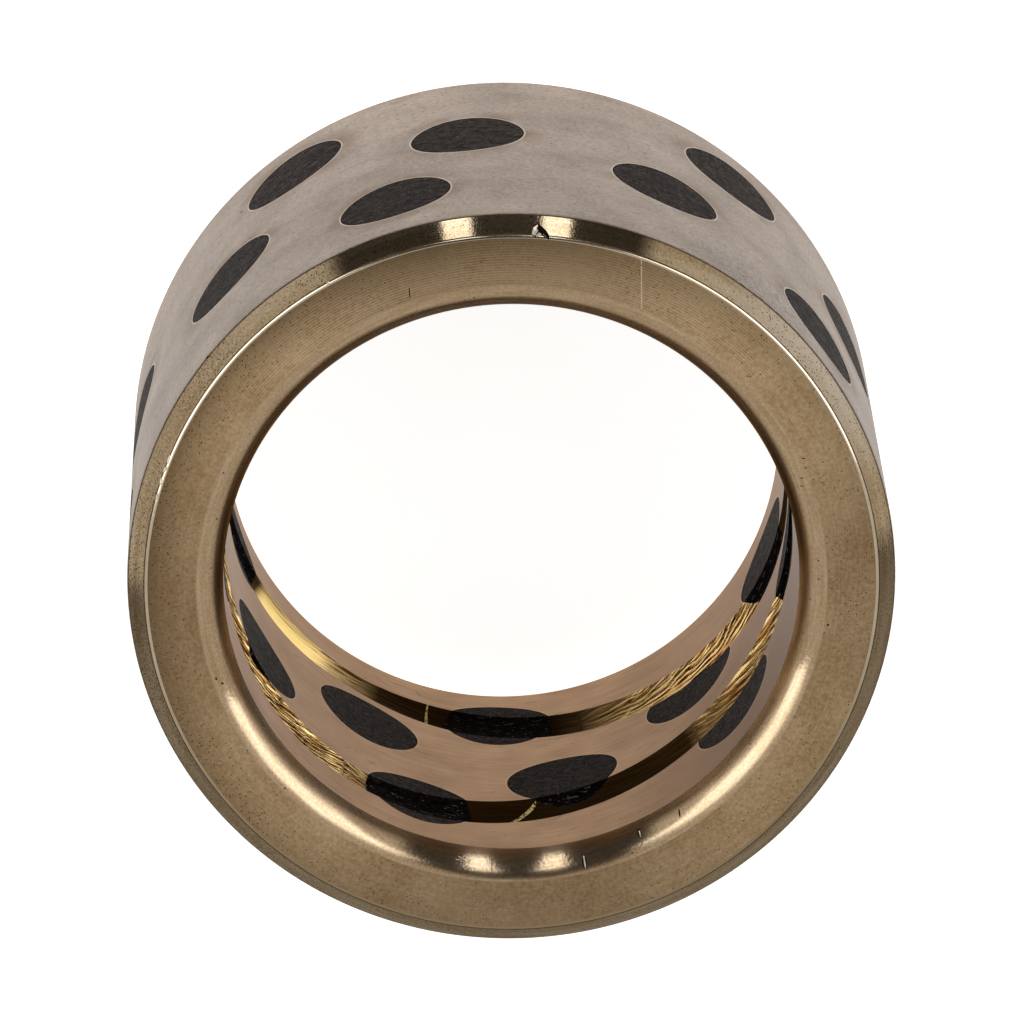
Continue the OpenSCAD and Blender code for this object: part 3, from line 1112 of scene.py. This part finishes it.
def pressed_graphite(name, dark, light, tear):
    """Graphite powder pressed into sticks. Looks charcoal and dull, with a fine streaky grain,
    pale flecks and dark hollows where grains have dropped out, more so where a cutter tore it."""
    finish, tree, shader, place = new_finish(name)
    grain = add_node(tree, "ShaderNodeTexNoise", {"Vector": place, "Scale": 1 / 0.24, "Detail": 4})
    streaks = add_node(
        tree, "ShaderNodeTexNoise",
        {"Vector": round_the_axis(tree, place, 0.9, 0.5), "Scale": 1, "Detail": 3},
    )
    tone = add_node(tree, "ShaderNodeMath", {0: grain, 1: streaks}, operation="ADD")
    tone, colour = two_paints(tree, tone, 0.82, 1.2, dark, light)
    flecks = pits(tree, place, 0.45, 0.11, 0.2)
    hollows = pits(tree, place, 1.1, 0.2, 0.3)
    thin = add_node(
        tree, "ShaderNodeMapping",
        {"Vector": place, "Rotation": (0.3, 0.25, 0.5), "Scale": (1 / 1.3, 1 / 1.3, 1 / 0.22)},
    )
    tears = add_node(tree, "ShaderNodeTexNoise", {"Vector": thin, "Scale": 1, "Detail": 2})
    tears = add_node(
        tree, "ShaderNodeMapRange",
        {"Value": tears, "From Min": 0.7 - 0.03 * tear, "From Max": 0.76 - 0.03 * tear},
    )
    relief = add_node(tree, "ShaderNodeMath", {0: hollows, 1: -1.5, 2: tone}, operation="MULTIPLY_ADD")
    bump = add_node(
        tree, "ShaderNodeBump", {"Height": relief, "Strength": 0.9, "Distance": 0.08 * tear * MM}
    )
    colour = covered(tree, colour, [
        (flecks, paint("#7a726b")),
        (hollows, paint("#0a0807")),
        (tears, paint("#6c655f")),
    ])
    set_inputs(tree, shader, {
        "Base Color": colour, "Roughness": 0.5, "Specular IOR Level": 0.008,
        "Normal": bump,
    })
    return finish


machined = pressed_graphite("machined_graphite", "#181312", "#483f3b", 1)
torn = pressed_graphite("torn_graphite", "#040303", "#1f1b19", 2.2)
plug_finishes = [torn if number == GROOVE else machined for number in range(len(bronze_finishes))]


def turned_wall():
    """The sleeve's wall without its edges, which is what the plugs fill."""
    bm = bmesh.new()
    corners = [
        (bore_radius, sleeve_bottom), (outside_radius, sleeve_bottom),
        (outside_radius, sleeve_top), (bore_radius, sleeve_top),
    ]
    ring = [bm.verts.new((radius, 0, height)) for radius, height in corners]
    edges = [bm.edges.new((a, b)) for a, b in zip(ring, ring[1:] + ring[:1])]
    bmesh.ops.spin(
        bm, geom=ring + edges, cent=(0, 0, 0), axis=(0, 0, 1), angle=tau,
        steps=turning_steps, use_merge=True,
    )
    bmesh.ops.remove_doubles(bm, verts=bm.verts, dist=edge_break / 100)
    bmesh.ops.recalc_face_normals(bm, faces=bm.faces)
    for face in bm.faces:
        middle = face.calc_center_median()
        face.material_index = OUTSIDE if middle.xy.length > (bore_radius + outside_radius) / 2 else BORE
    return bm


wall = add_piece("wall", turned_wall(), bronze_finishes)
for name, (turn, height, radius) in plug_places.items():
    bar = wall_bars([(turn, height)], hole_radius - glue_gap, HOLE)
    plug = add_piece("graphite_" + name, bar, plug_finishes)
    cut_with(plug, wall, "INTERSECT")
    for side, cutter in ((1, upper_cutter), (-1, lower_cutter)):
        apart = abs(loop_height(side, turn) - height)
        if apart < hole_radius + cutter_radius:
            cut_with(plug, cutter)
    true_normals(plug)
    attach(plug, "root")
    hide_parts(name)
for tool in (drill, upper_cutter, lower_cutter, dirt_and_shade_tool, nick_tool, wall):
    bpy.data.objects.remove(tool)

# Studio
# A white paper sheet on a pale table, two soft boxes at the sides, two thin strips of light in
# front and a dark curtain behind them, which the polished bronze mirrors.
table_size = 3.0
sheet_radius = 0.075
sheet_fade = 0.06
sheet_glow = 1
seen_glow = 0.85
bm = bmesh.new()
bmesh.ops.create_grid(bm, x_segments=1, y_segments=1, size=table_size)
table_paint = bpy.data.materials.new("white_table")
table_paint.use_nodes = True
tree = table_paint.node_tree
tree.nodes.clear()
rays = add_node(tree, "ShaderNodeLightPath")
mirrored = add_node(
    tree, "ShaderNodeMath",
    {0: rays.outputs["Is Glossy Ray"], 1: rays.outputs["Is Transmission Ray"]}, operation="MAXIMUM",
)
place = add_node(tree, "ShaderNodeTexCoord").outputs["Object"]
out_from_object = add_node(tree, "ShaderNodeVectorMath", {0: place}, operation="LENGTH")
sheet = add_node(
    tree, "ShaderNodeMapRange",
    {"Value": out_from_object, "From Min": sheet_radius,
     "From Max": sheet_radius + sheet_fade, "To Min": 1, "To Max": 0},
    interpolation_type="SMOOTHSTEP",
)
mirrored = add_node(tree, "ShaderNodeMath", {0: mirrored, 1: sheet}, operation="MULTIPLY")
mirrored = add_node(tree, "ShaderNodeMath", {0: mirrored, 1: sheet_glow}, operation="MULTIPLY")
seen = add_node(
    tree, "ShaderNodeMath", {0: rays.outputs["Is Camera Ray"], 1: seen_glow}, operation="MULTIPLY"
)
strength = add_node(tree, "ShaderNodeMath", {0: seen, 1: mirrored}, operation="MAXIMUM")
glow = add_node(tree, "ShaderNodeEmission", {"Color": (1, 1, 1, 1), "Strength": strength})
whiteness = add_node(
    tree, "ShaderNodeMath", {0: sheet, 1: rays.outputs["Is Camera Ray"]}, operation="MAXIMUM"
)
paper = add_node(
    tree, "ShaderNodeMix", {0: whiteness, 6: paint("#a3a09b"), 7: paint("#f0f0f0")}, data_type="RGBA"
)
paper = add_node(tree, "ShaderNodeBsdfDiffuse", {"Color": paper})
surface = add_node(tree, "ShaderNodeAddShader", {0: glow, 1: paper})
add_node(tree, "ShaderNodeOutputMaterial", {"Surface": surface})
table = add_piece("white_table", bm, [table_paint])

# The room: pale all round, and a dark curtain in front that widens towards the floor
curtain_spread = 0.55
curtain_top = 0.08
curtain_edge = 0.05
curtain_glow = 0.04
room_glow = 0.42
world = bpy.data.worlds.new("studio")
bpy.context.scene.world = world
world.use_nodes = True
tree = world.node_tree
tree.nodes.clear()
direction = add_node(tree, "ShaderNodeTexCoord")
sides = add_node(tree, "ShaderNodeSeparateXYZ", {0: direction.outputs["Generated"]})
aside = add_node(tree, "ShaderNodeMath", {0: sides.outputs["X"]}, operation="ABSOLUTE")
curtain = add_node(
    tree, "ShaderNodeMath", {0: sides.outputs["Y"], 1: curtain_spread, 2: aside}, operation="MULTIPLY_ADD"
)
room = add_node(
    tree, "ShaderNodeMapRange",
    {"Value": curtain, "From Min": curtain_top - curtain_edge,
     "From Max": curtain_top + curtain_edge, "To Min": curtain_glow, "To Max": room_glow},
    interpolation_type="SMOOTHSTEP",
)
air = add_node(tree, "ShaderNodeBackground", {"Color": paint("#fff6ea"), "Strength": room})
add_node(tree, "ShaderNodeOutputWorld", {"Surface": air})


def soft_lamp(name, azimuth, elevation, width, height, radiance):
    """A lamp aimed at the object, at an azimuth from +X and an elevation in degrees."""
    light = bpy.data.lights.new(name, "AREA")
    light.shape = "RECTANGLE"
    light.size, light.size_y = width, height
    light.energy = radiance * pi * width * height
    lamp = bpy.data.objects.new(name, light)
    bpy.context.scene.collection.objects.link(lamp)
    turn, lift = radians(azimuth), radians(elevation)
    towards = Vector((cos(turn) * cos(lift), sin(turn) * cos(lift), sin(lift)))
    lamp.location = towards * lamp_distance
    lamp.rotation_euler = (-towards).to_track_quat("-Z", "Y").to_euler()
    lamp.visible_camera = False


lamp_distance = 0.9
soft_lamp("right_softbox", -21, 44, 0.61, 0.74, 1.3)
soft_lamp("left_softbox", -160, 44, 0.61, 0.74, 1.3)
soft_lamp("right_strip", -83.5, 27, 0.085, 1.12, 1.6)
soft_lamp("left_strip", -103.5, 27, 0.085, 1.12, 1.6)

# Camera
# A long lens a metre away from the near end. Its place, turn and length were fitted to the
# object's outlines in the photo.
camera_data = bpy.data.cameras.new("camera")
camera_data.sensor_width = 36
camera_data.lens = 336.3
camera_data.clip_start = 0.01
camera = bpy.data.objects.new("camera", camera_data)
bpy.context.scene.collection.objects.link(camera)
bpy.context.scene.camera = camera
camera_place = Vector((0, -0.32736, 0.99027))
image_right = Vector((-0.99802, 0.05936, 0.02071))
image_down = Vector((0.06287, 0.94486, 0.3214))
forward = Vector((-0.00049, 0.32206, -0.94672))
camera_axes = Matrix((image_right, -image_down, -forward)).transposed()
camera.matrix_world = Matrix.Translation(camera_place) @ camera_axes.to_4x4()

view = bpy.context.scene.view_settings
view.view_transform = "Standard"
